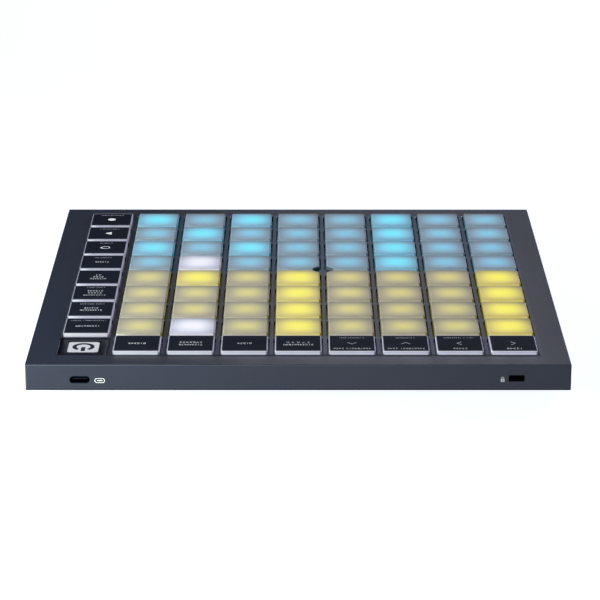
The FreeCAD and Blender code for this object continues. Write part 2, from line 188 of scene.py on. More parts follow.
def case_material():
    m = Nodes("case_plastic_look")
    broad = m.noise(26, 3, 0.55)
    fine = m.noise(2300, 2, 0.6)
    pits = m.cells(1500)
    streak = m.noise(60, 2, 0.5, vector=m.at(scale=(1, 0.12, 1)))
    base = m.mix(m.span(broad, 0.3, 0.7, 0, 1), (0.0131, 0.0159, 0.0300), (0.0149, 0.0181, 0.0340))
    grain = m.span(fine, 0.3, 0.7, 0.93, 1.07)
    base = m.times(base, grain)
    # painted highlight along the rear edge of the panel, mostly over the port, and on the corner beside it; the edge is
    # a little glossier there too
    painted_edge_highlight = m.math("MULTIPLY", m.smooth(m.axis(1), 0.11985, 0.1204), m.smooth(m.axis(2), 0.0146, 0.0150))
    painted_edge_highlight = m.math("MULTIPLY", painted_edge_highlight, m.smooth(m.axis(0), -0.01, 0.10, 0.6, 1.0))
    corner = m.math("MULTIPLY", m.smooth(m.axis(0), 0.1199, 0.1203), m.smooth(m.axis(1), 0.1195, 0.1202))
    painted_edge_highlight = m.math("MAXIMUM", painted_edge_highlight, m.math("MULTIPLY", corner, 0.8))
    painted_edge_highlight = m.math("MULTIPLY", painted_edge_highlight, m.span(m.noise(90, 3, 0.6), 0.35, 0.65, 0.7, 1.0))
    base = m.mix(m.math("MULTIPLY", painted_edge_highlight, 0.9), base, (0.085, 0.089, 0.108))
    # painted light: the panel's upward faces are lighter on the +X side, beside the keys
    film = m.math("MULTIPLY", m.smooth(m.axis(0), 0.03, 0.12), m.smooth(m.facing(2), 0.5, 0.9))
    base = m.mix(m.math("MULTIPLY", film, m.span(broad, 0.3, 0.7, 0.9, 1.0)), base, (0.0265, 0.0315, 0.0570))
    # painted shade: darker along the lowest edge, the outer edges at the two sides and round the window's opening
    up = m.smooth(m.facing(2), 0.3, 0.7)
    painted_edge_shade = m.math("MULTIPLY", m.smooth(m.axis(0), 0.1198, 0.1203), up)
    by_corner = m.math("MAXIMUM", up, m.smooth(m.axis(1), 0.1188, 0.1196))
    painted_edge_shade = m.math("MAXIMUM", painted_edge_shade, m.math("MULTIPLY", m.smooth(m.axis(0), -0.1198, -0.1203), by_corner))
    painted_edge_shade = m.math("MAXIMUM", painted_edge_shade, m.smooth(m.axis(2), 0.0041, 0.0035, 0.0, 0.9))
    painted_edge_shade = m.math("MULTIPLY", painted_edge_shade, m.span(m.noise(70, 3, 0.6), 0.3, 0.7, 0.7, 0.9))
    wx = m.math("ABSOLUTE", m.math("SUBTRACT", m.axis(0), LAST * MM))
    wy = m.math("ABSOLUTE", m.math("SUBTRACT", m.axis(1), LAST * MM))
    window = m.smooth(m.math("MAXIMUM", wx, wy), 0.0118, 0.0114)
    # painted shade: the rear wall is darker towards -X, by the lock
    painted_wall_shade = m.math("MULTIPLY", m.smooth(m.axis(0), -0.02, -0.12), m.smooth(m.facing(1), 0.5, 0.9))    # the wall by the lock
    painted_edge_shade = m.math("MAXIMUM", painted_edge_shade, m.math("MULTIPLY", window, 0.7))
    base = m.mix(m.math("MULTIPLY", painted_wall_shade, 0.6), base, (0.0095, 0.0130, 0.0270))
    # painted shade inside the slots of the rear wall
    inside = m.math("MULTIPLY", m.smooth(m.axis(1), 0.12045, 0.12015), m.smooth(m.axis(1), 0.1160, 0.1175))
    inside = m.math("MULTIPLY", inside, m.smooth(m.axis(2), 0.0131, 0.0129))
    off = m.math("ABSOLUTE", m.math("SUBTRACT", m.math("ABSOLUTE", m.axis(0)), LAST * MM))
    inside = m.math("MULTIPLY", inside, m.smooth(off, 0.0056, 0.0052))
    base = m.times(base, m.math("SUBTRACT", 1.0, m.math("MAXIMUM", m.math("MULTIPLY", inside, 0.85), painted_edge_shade)))
    rough = m.math("ADD", m.span(streak, 0.3, 0.7, 0.37, 0.43), m.span(fine, 0.3, 0.7, -0.02, 0.03))
    rough = m.math("SUBTRACT", rough, m.math("MULTIPLY", painted_edge_highlight, 0.08))
    height = m.math("ADD", m.math("MULTIPLY", fine, 0.6), m.math("MULTIPLY", pits, 0.5))
    # painted glow: the light of the keys on the panel between them is painted on as emission
    x, y = m.axis(0), m.axis(1)
    spill = m.math("MAXIMUM", m.math("ABSOLUTE", x), m.math("ABSOLUTE", y))
    spill = m.math("MULTIPLY", m.smooth(spill, 0.1092, 0.1080), m.smooth(m.facing(2), 0.5, 0.9))
    spill = m.math("MULTIPLY", spill, m.smooth(m.axis(2), 0.0149, 0.0151))
    spill = m.math("MULTIPLY", spill, m.smooth(m.math("MAXIMUM", x, y), 0.1070, 0.1064))
    spill = m.math("MULTIPLY", spill, m.smooth(x, 0.0840, 0.0832))
    tint = m.mix(m.smooth(y, -0.0125, -0.0115), (0.007, 0.017, 0.033), (0.016, 0.015, 0.010))
    tint = m.mix(m.smooth(m.math("MAXIMUM", x, y), 0.0846, 0.0856), tint, (0.009, 0.013, 0.030))
    tint = m.times(tint, m.math("MULTIPLY", spill, m.span(broad, 0.3, 0.7, 0.9, 1.1)))
    m.set(Base_Color=base, Roughness=rough, Emission_Color=tint, Normal=m.bump(height, 0.18, 0.00004))
    m.bsdf.inputs["Emission Strength"].default_value = 1.0
    m.mat.cycles.emission_sampling = "NONE"
    # painted shade: the specular is lowered on the strip of panel behind the rear keys, where they shade it, round the
    # window, on the wall by the lock, inside the slots and along the darkened edges
    strip = m.math("MULTIPLY", m.smooth(m.axis(1), 0.1066, 0.1070), m.smooth(m.axis(1), 0.1100, 0.1088))
    along = m.math("ABSOLUTE", m.math("SUBTRACT", m.axis(0), MID * MM))
    strip = m.math("MULTIPLY", m.math("MULTIPLY", strip, m.smooth(along, 0.0975, 0.0945)), 0.8)
    strip = m.math("MAXIMUM", strip, m.math("MULTIPLY", painted_wall_shade, 0.16))
    strip = m.math("MAXIMUM", strip, m.math("MAXIMUM", m.math("MULTIPLY", inside, 0.95), painted_edge_shade))
    m.put(m.bsdf.inputs["Specular IOR Level"], m.math("SUBTRACT", 0.5, m.math("MULTIPLY", strip, 0.5)))
    return m.mat


def base_material():
    m = Nodes("base_plastic_look")
    broad = m.noise(30, 3, 0.5)
    cell = m.cells(900)
    fine = m.noise(3000, 2, 0.6)
    base = m.mix(m.span(broad, 0.3, 0.7, 0, 1), (0.012, 0.0135, 0.018), (0.0165, 0.018, 0.0235))
    scuff = m.noise(14, 5, 0.7, vector=m.at(scale=(1, 6, 1), turn=(0, 0, 0.5)))
    scuffed = m.smooth(scuff, 0.62, 0.72)
    base = m.mix(m.math("MULTIPLY", scuffed, 0.25), base, (0.04, 0.042, 0.048))
    rough = m.math("SUBTRACT", m.span(fine, 0.3, 0.7, 0.56, 0.68), m.math("MULTIPLY", scuffed, 0.08))
    m.set(Base_Color=base, Roughness=rough,
          Normal=m.bump(m.math("ADD", cell, m.math("MULTIPLY", fine, 0.4)), 0.5, 0.00010))
    return m.mat


def pad_material(name, rim, halo, core, wall):
    """Milky silicone with a light under it: rim, halo, core and wall are the light's colour there."""
    m = Nodes(name)
    (u, iu), (v, iv) = key_place(m, True)
    # the light spreads as a rounded square, a little towards the rear
    p = 2.73
    du = m.math("ABSOLUTE", m.math("SUBTRACT", u, 0.003))
    dv = m.math("ABSOLUTE", m.math("SUBTRACT", v, 0.074))
    r = m.math("POWER", m.math("ADD", m.math("POWER", du, p), m.math("POWER", dv, p)), 2 / p)
    near = m.math("SUBTRACT", 1.0, m.math("MULTIPLY", r, 1 / 1.245 ** 2), clamp=True)
    t = m.math("POWER", near, 2.11)
    # every pad's light differs a little, and the silicone clouds it
    which = m.tree.nodes.new("ShaderNodeCombineXYZ")
    m.put(which.inputs[0], iu)
    m.put(which.inputs[1], iv)
    own = m.tree.nodes.new("ShaderNodeTexWhiteNoise")
    m.put(own.inputs["Vector"], which.outputs[0])
    cloud = m.noise(150, 3, 0.55)
    speck = m.noise(2600, 2, 0.5)
    t = m.math("MULTIPLY", t, m.span(own.outputs["Value"], 0, 1, 0.96, 1.03))
    t = m.math("MULTIPLY", t, m.span(cloud, 0.3, 0.7, 0.97, 1.03))
    # painted light and shade: the rim's glow is made lighter towards +X, where the lamps stand, and darker towards -X;
    # it is also brighter towards the rear
    lean = m.math("ADD", m.math("MULTIPLY", u, 0.22), m.math("MULTIPLY_ADD", v, 0.385, 1.035))
    glow = m.mix(t, m.times(rim, lean), m.mix(m.math("POWER", near, 2.46), halo, core))
    # the walls: the two at the sides are dimmer, and so are the cut corners in the middle of the grid
    across = m.smooth(m.math("ABSOLUTE", m.facing(0)), 0.15, 0.6)
    middle_x = m.math("ABSOLUTE", m.math("SUBTRACT", m.axis(0), MID * MM))
    middle_y = m.math("ABSOLUTE", m.math("SUBTRACT", m.axis(1), MID * MM))
    cut = m.smooth(m.math("ADD", middle_x, middle_y), 0.0069, 0.0065)
    side = m.mix(across, wall, tuple(0.26 * c for c in core))
    side = m.times(side, m.math("SUBTRACT", 1.0, m.math("MULTIPLY", cut, 0.88)))
    up = m.smooth(m.facing(2), 0.15, 0.85)
    glow = m.mix(up, side, glow)
    # painted shade: the glow and the base are darker on the faces turned to -X
    away = m.smooth(m.facing(0), -0.08, -0.5)
    glow = m.times(glow, m.math("SUBTRACT", 1.0, m.math("MULTIPLY", away, 0.32)))
    hidden = m.smooth(m.axis(2), 0.0144, 0.0154)     # the light fades on the walls under the panel
    glow = m.times(glow, m.math("ADD", m.math("MULTIPLY", hidden, 0.84), 0.16))
    glow = m.times(glow, m.span(speck, 0.3, 0.7, 0.985, 1.015))
    base = m.mix(m.span(cloud, 0.3, 0.7, 0, 1), (0.25, 0.26, 0.27), (0.285, 0.29, 0.30))
    base = m.times(base, m.span(speck, 0.3, 0.7, 0.95, 1.05))
    base = m.times(base, m.math("SUBTRACT", 1.0, m.math("MULTIPLY", cut, 0.55)))
    # painted shade: the base is darker on the rounded edges, most of all at the two sides, and on the faces turned to
    # -X
    f = m.math("ABSOLUTE", m.facing(2))
    painted_rim_shade = m.math("MULTIPLY", m.math("MULTIPLY", f, m.math("SUBTRACT", 1.0, f)), 4.0, clamp=True)
    painted_rim_shade = m.math("MULTIPLY", painted_rim_shade, m.math("ADD", m.math("MULTIPLY", across, 0.32), 0.52))
    painted_rim_shade = m.math("MAXIMUM", painted_rim_shade, m.math("MULTIPLY", away, 0.8))
    base = m.times(base, m.math("SUBTRACT", 1.0, painted_rim_shade))
    m.set(Base_Color=base, Emission_Color=glow,
          Roughness=m.span(speck, 0.3, 0.7, 0.50, 0.60),
          Normal=m.bump(speck, 0.12, 0.00003))
    m.bsdf.inputs["Emission Strength"].default_value = 1.0
    m.bsdf.inputs["Specular IOR Level"].default_value = 0.15
    m.mat.cycles.emission_sampling = "NONE"
    return m.mat


def key_material():
    """Milky silicone of the function keys, lit white from inside; it shows at the rim and the sides."""
    m = Nodes("function_key_silicone_look")
    z = m.axis(2)
    (u, _), (v, _) = key_place(m, True)
    right, rear = m.smooth(u, 0.1, -0.1), m.smooth(v, -0.1, 0.1)
    v_way = v
    u, v = m.math("ABSOLUTE", u), m.math("ABSOLUTE", v)
    cloud = m.noise(170, 3, 0.55)
    speck = m.noise(2600, 2, 0.5)
    low, high = m.smooth(z, 0.0160, 0.0155), m.smooth(z, 0.0161, 0.0163)
    y = m.axis(1)
    rear_row = m.smooth(y, 0.0835, 0.0850)
    column = m.mix(high, m.mix(low, (0.35, 0.35, 0.45), (0.62, 0.62, 0.80)), (0.345, 0.33, 0.415))
    first = m.mix(m.smooth(z, 0.0163, 0.0157), (0.315, 0.285, 0.375), (0.30, 0.255, 0.345))
    column = m.mix(m.smooth(y, 0.0815, 0.0820), column, first)
    row = m.mix(high, m.mix(low, (0.27, 0.275, 0.365), (0.445, 0.44, 0.58)), (0.435, 0.415, 0.51))
    foot = m.smooth(z, 0.0154, 0.0152, 0.0, 0.28)
    row = m.times(row, m.math("SUBTRACT", m.span(m.axis(0), -0.09, 0.09, 1.01, 0.90), foot))
    glow = m.mix(rear_row, column, row)
    # the top's rim is thin and dim, and at the rear end the print's edge covers it
    ends = m.math("MULTIPLY", m.smooth(v, 0.925, 0.95), m.smooth(u, 0.965, 0.95))
    ends = m.math("MULTIPLY", ends, rear)
    top = m.mix(right, (0.155, 0.137, 0.205), m.mix(rear_row, (0.14, 0.145, 0.22), (0.075, 0.08, 0.125)))
    top = m.mix(m.smooth(v_way, -0.90, -0.95), top, (0.25, 0.24, 0.29))
    top = m.mix(ends, top, (0.02, 0.021, 0.030))
    across = m.smooth(m.math("ABSOLUTE", m.facing(0)), 0.15, 0.6)
    glow = m.times(glow, m.math("SUBTRACT", 1.0, m.math("MULTIPLY", across, m.smooth(z, 0.0164, 0.0156, 0.42, 0.75))))
    # the column's sides that face the pads are the brightest
    inner = m.math("MULTIPLY", m.smooth(m.facing(0), -0.15, -0.6), m.smooth(m.axis(0), 0.0850, 0.0855))
    inner = m.math("MULTIPLY", m.math("MULTIPLY", inner, m.smooth(z, 0.0153, 0.0158)), m.smooth(y, 0.0850, 0.0835))
    glow = m.times(glow, m.mix(inner, (1.0, 1.0, 1.0), (1.45, 1.42, 1.75)))
    # in the row it is the sides that face the middle
    lean = m.math("MULTIPLY", m.math("MULTIPLY", m.facing(0), m.axis(0)), -11.0)
    lean = m.math("MULTIPLY", m.smooth(lean, 0.1, 0.8), m.smooth(z, 0.0153, 0.0158))
    glow = m.times(glow, m.mix(m.math("MULTIPLY", lean, rear_row), (1.0, 1.0, 1.0), (2.50, 2.45, 2.80)))
    glow = m.mix(m.smooth(m.facing(2), 0.3, 0.75), glow, top)
    glow = m.times(glow, m.span(cloud, 0.3, 0.7, 0.95, 1.04))
    glow = m.times(glow, m.span(m.axis(1), -0.10, 0.09, 0.80, 1.0))       # the row of lights dims away from the rear
    hidden = m.smooth(z, 0.0132, 0.0150)
    glow = m.times(glow, m.math("ADD", m.math("MULTIPLY", hidden, 0.7), 0.3))
    base = m.mix(m.span(cloud, 0.3, 0.7, 0, 1), (0.19, 0.195, 0.225), (0.215, 0.22, 0.25))
    base = m.mix(m.math("MULTIPLY", ends, m.smooth(m.facing(2), 0.2, 0.6)), base, (0.035, 0.038, 0.05))
    # painted shade: the base is darker on the column's outer sides and on the row's sides that face outwards
    outer = m.math("MULTIPLY", m.smooth(m.facing(0), 0.1, 0.5), m.smooth(m.axis(0), 0.0850, 0.0855))
    away = m.smooth(m.math("MULTIPLY", m.facing(0), m.axis(0)), 0.008, 0.04, 0.0, 0.45)
    outer = m.math("MULTIPLY", outer, m.smooth(y, 0.0850, 0.0835, 0.0, 0.6))
    outer = m.math("MAXIMUM", outer, m.math("MULTIPLY", away, rear_row))
    base = m.times(base, m.math("SUBTRACT", 1.0, outer))
    m.set(Base_Color=base, Emission_Color=glow, Roughness=m.span(speck, 0.3, 0.7, 0.46, 0.56),
          Normal=m.bump(speck, 0.12, 0.00003))
    m.bsdf.inputs["Emission Strength"].default_value = 1.0
    m.bsdf.inputs["Specular IOR Level"].default_value = 0.2
    m.mat.cycles.emission_sampling = "NONE"
    return m.mat


def print_material():
    m = Nodes("key_print_look")
    broad = m.noise(70, 3, 0.5)
    fine = m.noise(3200, 2, 0.6)
    base = m.mix(m.span(broad, 0.3, 0.7, 0, 1), (0.0131, 0.0156, 0.0288), (0.0160, 0.0187, 0.0334))
    base = m.times(base, m.span(fine, 0.3, 0.7, 0.92, 1.08))
    smear = m.noise(45, 4, 0.6, vector=m.at(scale=(1, 2.2, 1), turn=(0, 0, 0.7)))
    m.set(Base_Color=base,
          Roughness=m.math("ADD", m.span(smear, 0.35, 0.65, 0.47, 0.56), m.span(fine, 0.3, 0.7, -0.02, 0.02)),
          Normal=m.bump(fine, 0.15, 0.00003))
    m.bsdf.inputs["Specular IOR Level"].default_value = 0.03
    return m.mat


def ink_material(name, colour, glow, dim=0.0):
    m = Nodes(name)
    fine = m.noise(4200, 2, 0.6)
    base = m.times(m.mix(m.span(fine, 0.3, 0.7, 0, 1), tuple(c * 0.93 for c in colour), colour), 1.0)
    light = m.times(m.mix(m.span(fine, 0.3, 0.7, 0, 1), tuple(c * 0.92 for c in glow), glow), 1.0)
    m.set(Base_Color=base, Emission_Color=light, Roughness=m.span(fine, 0.3, 0.7, 0.45, 0.6))
    m.bsdf.inputs["Emission Strength"].default_value = 1.0
    m.mat.cycles.emission_sampling = "NONE"
    return m.mat


def plain_ink_material(name, colour):
    m = Nodes(name)
    fine = m.noise(4200, 2, 0.6)
    m.set(Base_Color=m.mix(m.span(fine, 0.3, 0.7, 0, 1), tuple(c * 0.9 for c in colour), colour),
          Roughness=m.span(fine, 0.3, 0.7, 0.5, 0.65), Normal=m.bump(fine, 0.2, 0.00002))
    return m.mat


def window_frame_material():
    m = Nodes("window_frame_look")
    fine = m.noise(500, 3, 0.6)
    smear = m.noise(60, 4, 0.6, vector=m.at(scale=(1, 2.5, 1), turn=(0, 0, 0.4)))
    base = m.mix(m.span(fine, 0.3, 0.7, 0, 1), (0.0046, 0.0052, 0.0150), (0.0062, 0.0070, 0.0185))
    wx = m.math("ABSOLUTE", m.math("SUBTRACT", m.axis(0), LAST * MM))
    wy = m.math("ABSOLUTE", m.math("SUBTRACT", m.axis(1), LAST * MM))
    seam = m.smooth(m.math("MAXIMUM", wx, wy), 0.0081, 0.0074, 1.0, 0.35)      # darker where the light meets the frame
    base = m.times(base, seam)
    m.set(Base_Color=base,
          Roughness=m.span(smear, 0.35, 0.65, 0.30, 0.40), Normal=m.bump(fine, 0.05, 0.00003))
    m.bsdf.inputs["Specular IOR Level"].default_value = 0.2
    return m.mat


def window_light_material():
    m = Nodes("window_light_look")
    lx = m.math("MULTIPLY", m.math("SUBTRACT", m.axis(0), LAST * MM), 1 / 0.00685)
    ly = m.math("MULTIPLY", m.math("SUBTRACT", m.axis(1), LAST * MM), 1 / 0.00685)
    r = m.math("ADD", m.math("POWER", m.math("ABSOLUTE", lx), 2.4), m.math("POWER", m.math("ABSOLUTE", ly), 2.4))
    t = m.math("SUBTRACT", 1.0, m.math("MULTIPLY", r, 0.5), clamp=True)
    cloud = m.noise(160, 3, 0.5)
    speck = m.noise(3000, 2, 0.5)
    glow = m.mix(t, (0.42, 0.41, 0.445), (0.46, 0.46, 0.50))
    glow = m.times(glow, m.span(cloud, 0.3, 0.7, 0.96, 1.04))
    m.set(Base_Color=m.mix(m.span(speck, 0.3, 0.7, 0, 1), (0.21, 0.215, 0.225), (0.24, 0.245, 0.255)),
          Emission_Color=glow, Roughness=m.span(speck, 0.3, 0.7, 0.28, 0.38))
    m.bsdf.inputs["Emission Strength"].default_value = 1.0
    m.mat.cycles.emission_sampling = "NONE"
    return m.mat


def rubber_material():
    m = Nodes("foot_rubber_look")
    fine = m.noise(1800, 3, 0.6)
    dust = m.noise(220, 4, 0.6)
    base = m.mix(m.span(fine, 0.3, 0.7, 0, 1), (0.018, 0.018, 0.0185), (0.026, 0.026, 0.027))
    base = m.mix(m.math("MULTIPLY", m.smooth(dust, 0.55, 0.72), 0.2), base, (0.09, 0.088, 0.083))
    m.set(Base_Color=base, Roughness=m.span(fine, 0.3, 0.7, 0.72, 0.85), Normal=m.bump(fine, 0.4, 0.00006))
    return m.mat


def metal_material(name, dark, light, rough, lines=(1, 1, 40)):
    m = Nodes(name)
    brush = m.noise(900, 3, 0.6, vector=m.at(scale=lines))
    blotch = m.noise(300, 3, 0.5)
    base = m.mix(m.span(blotch, 0.3, 0.7, 0, 1), dark, light)
    m.set(Base_Color=base, Roughness=m.span(brush, 0.3, 0.7, rough - 0.07, rough + 0.08),
          Normal=m.bump(brush, 0.12, 0.00002))
    m.bsdf.inputs["Metallic"].default_value = 1.0
    return m.mat


def plate_material():
    m = Nodes("plate_steel_look")
    brush = m.noise(900, 3, 0.6, vector=m.at(scale=(1, 30, 30)))
    blotch = m.noise(300, 3, 0.5)
    base = m.mix(m.span(blotch, 0.3, 0.7, 0, 1), (0.30, 0.30, 0.31), (0.42, 0.42, 0.43))
    # painted shade: the floor of its slot is darker, and rougher
    slot_floor_shade = m.math("ABSOLUTE", m.math("ADD", m.axis(0), LAST * MM))
    slot_floor_shade = m.math("MULTIPLY", m.smooth(slot_floor_shade, 0.0038, 0.0036), m.smooth(m.facing(2), 0.2, 0.6))
    base = m.times(base, m.math("SUBTRACT", 1.0, m.math("MULTIPLY", slot_floor_shade, 0.95)))
    m.set(Base_Color=base, Roughness=m.math("ADD", m.span(brush, 0.3, 0.7, 0.31, 0.46), m.math("MULTIPLY", slot_floor_shade, 0.3)),
          Normal=m.bump(brush, 0.12, 0.00002))
    m.bsdf.inputs["Metallic"].default_value = 1.0
    return m.mat


def board_material():
    m = Nodes("board_look")
    weave_x = m.math("SINE", m.math("MULTIPLY", m.axis(0), 2 * math.pi / 0.0008))
    weave_y = m.math("SINE", m.math("MULTIPLY", m.axis(1), 2 * math.pi / 0.0008))
    weave = m.math("MULTIPLY", weave_x, weave_y)
    # copper tracks seen through the mask, in lanes between the keys
    lane = m.math("PINGPONG", m.math("MULTIPLY", m.axis(0), 1.0), 0.0006)
    lanes = m.smooth(lane, 0.00027, 0.00033)
    cross = m.math("PINGPONG", m.axis(1), 0.0006)
    crosses = m.smooth(cross, 0.00027, 0.00033)
    field = m.smooth(m.noise(42, 1, 0.4), 0.49, 0.51)
    track = m.mix(field, lanes, crosses)
    copper = m.math("MULTIPLY", track, m.smooth(m.noise(30, 2, 0.5, vector=m.at(shift=(3, 1, 0))), 0.47, 0.53))
    base = m.mix(copper, (0.006, 0.055, 0.022), (0.014, 0.105, 0.038))
    m.set(Base_Color=base, Roughness=m.span(weave, -1, 1, 0.26, 0.34),
          Normal=m.bump(m.math("ADD", m.math("MULTIPLY", weave, 0.08), copper), 0.3, 0.00003))
    return m.mat


def chip_material():
    m = Nodes("chip_look")
    fine = m.noise(2500, 3, 0.6)
    m.set(Base_Color=m.mix(m.span(fine, 0.3, 0.7, 0, 1), (0.012, 0.012, 0.013), (0.022, 0.022, 0.023)),
          Roughness=m.span(fine, 0.3, 0.7, 0.5, 0.66), Normal=m.bump(fine, 0.4, 0.00004))
    return m.mat


def led_material():
    m = Nodes("led_look")
    lens = m.smooth(m.axis(2), 0.00962, 0.00958)     # the lens lies just below the package's top
    fine = m.noise(2200, 2, 0.5)
    base = m.mix(m.span(fine, 0.3, 0.7, 0, 1), (0.62, 0.62, 0.58), (0.72, 0.72, 0.68))
    base = m.mix(m.math("MULTIPLY", lens, m.smooth(m.facing(2), 0.6, 0.9)), base, (0.62, 0.55, 0.22))
    m.set(Base_Color=base, Roughness=m.span(fine, 0.3, 0.7, 0.25, 0.4))
    return m.mat


def film_material():
    m = Nodes("film_look")
    (u, _), (v, _) = key_place(m)
    ring = m.math("MAXIMUM", u, v)
    carbon = m.math("MULTIPLY", m.smooth(ring, 0.50, 0.52), m.smooth(ring, 0.86, 0.84))
    line = m.math("PINGPONG", m.math("ADD", m.axis(0), m.axis(1)), 0.0006)
    silver = m.math("MULTIPLY", carbon, m.smooth(line, 0.00034, 0.0004))
    fine = m.noise(1800, 2, 0.5)
    base = m.mix(m.span(fine, 0.3, 0.7, 0, 1), (0.20, 0.195, 0.16), (0.24, 0.235, 0.20))
    base = m.mix(carbon, base, (0.02, 0.02, 0.021))
    base = m.mix(silver, base, (0.30, 0.30, 0.31))
    m.set(Base_Color=base, Roughness=m.span(fine, 0.3, 0.7, 0.26, 0.36))
    return m.mat


def web_material():
    m = Nodes("web_silicone_look")
    cloud = m.noise(140, 3, 0.5)
    speck = m.noise(2200, 2, 0.5)
    m.set(Base_Color=m.mix(m.span(cloud, 0.3, 0.7, 0, 1), (0.50, 0.50, 0.48), (0.60, 0.60, 0.575)),
          Roughness=m.span(speck, 0.3, 0.7, 0.5, 0.62), Normal=m.bump(speck, 0.2, 0.00004))
    m.bsdf.inputs["Subsurface Weight"].default_value = 0.25
    m.bsdf.inputs["Subsurface Radius"].default_value = (0.001, 0.001, 0.0009)
    return m.mat


SILICONE = {
    #                rim                    halo                   core                   wall
    "cyan":        ((0.054, 0.139, 0.228), (0.208, 0.798, 1.097), (0.084, 0.691, 0.848), (0.099, 0.315, 0.46)),
    "blue":        ((0.062, 0.088, 0.123), (0.22, 0.424, 0.605), (0.134, 0.451, 0.64), (0.13, 0.195, 0.255)),
    "yellow":      ((0.279, 0.21, 0.038), (1.081, 0.933, 0.073), (0.872, 0.778, 0.012), (0.515, 0.44, 0.09)),
    "pale_yellow": ((0.144, 0.115, 0.065), (0.573, 0.483, 0.219), (0.563, 0.492, 0.109), (0.292, 0.248, 0.170)),
    "white":       ((0.222, 0.206, 0.283), (0.965, 1.016, 1.2), (0.772, 0.750, 0.800), (0.50, 0.475, 0.57)),
}
pad_look = {name: pad_material("pad_silicone_" + name, *c) for name, c in SILICONE.items()}
key_look, print_look = key_material(), print_material()
ink_white = ink_material("legend_white", (0.62, 0.62, 0.64), (0.30, 0.31, 0.34))
ink_soft = ink_material("legend_soft_white", (0.54, 0.545, 0.57), (0.27, 0.27, 0.315))
ink_grey = ink_material("legend_grey", (0.25, 0.255, 0.285), (0.18, 0.182, 0.23))
ink_dim = ink_material("legend_dim_white", (0.40, 0.405, 0.43), (0.17, 0.175, 0.20))
ink_lit = ink_material("legend_bright_white", (0.70, 0.70, 0.71), (0.50, 0.50, 0.53))
wall_white = plain_ink_material("wall_print_white", (0.76, 0.75, 0.77))
wall_grey = plain_ink_material("wall_print_grey", (0.43, 0.44, 0.47))
glyph_dark = plain_ink_material("window_glyph_dark", (0.012, 0.013, 0.020))


# --------------------------------------------------------------------- geometry
def outline(width, legs, radius, z, cx=0.0, cy=0.0):
    """A rounded square of 4 N points, anticlockwise from the (-x, -y) corner; legs gives each corner's 45 degree cut."""
    h, points = width / 2, []
    for i in range(4):
        leg, r = legs[i], max(radius, 0.03)
        corner = []
        if leg <= 0:
            for k in range(N):
                a = math.radians(180 + 90 * k / (N - 1))
                corner.append((-h + r + r * math.cos(a), -h + r + r * math.sin(a)))
        else:
            t = r * math.tan(math.radians(22.5))
            for k in range(N // 2):
                a = math.radians(180 + 45 * k / (N // 2 - 1))
                corner.append((-h + r + r * math.cos(a), -h + leg + t + r * math.sin(a)))
            for k in range(N // 2):
                a = math.radians(225 + 45 * k / (N // 2 - 1))
                corner.append((-h + leg + t + r * math.cos(a), -h + r + r * math.sin(a)))
        for x, y in corner:
            for _ in range(i):
                x, y = -y, x
            points.append(Vector(((x + cx) * MM, (y + cy) * MM, z * MM)))
    return points


def loft(bm, rings, materials, close_first=True, close_last=True):
    """Skins the rings one after another, which run from the inside of the underside to the middle of the top. materials[i] is for the band from ring i to ring i + 1, and the last one for the closing face."""
    loops = [[bm.verts.new(p) for p in ring] for ring in rings]
    n = len(loops[0])
    for i in range(len(loops) - 1):
        a, b = loops[i], loops[i + 1]
        for k in range(n):
            f = bm.faces.new((a[k], a[(k + 1) % n], b[(k + 1) % n], b[k]))
            f.material_index = materials[i]
    if close_first:
        f = bm.faces.new(list(reversed(loops[0])))
        f.material_index = materials[0]
    if close_last:
        f = bm.faces.new(loops[-1])
        f.material_index = materials[-1]
    return loops


def centre_corner(x, y):
    """Which corner of a pad faces the middle of the pad field, or None."""
    if abs(abs(x - MID) - PITCH / 2) > 1e-6 or abs(abs(y - MID) - PITCH / 2) > 1e-6:
        return None
    if x > MID:
        return 0 if y > MID else 3
    return 1 if y > MID else 2


def with_leg(corner, leg, other=0.0):
    out = [other] * 4
    if corner is not None:
        out[corner] = leg
    return out


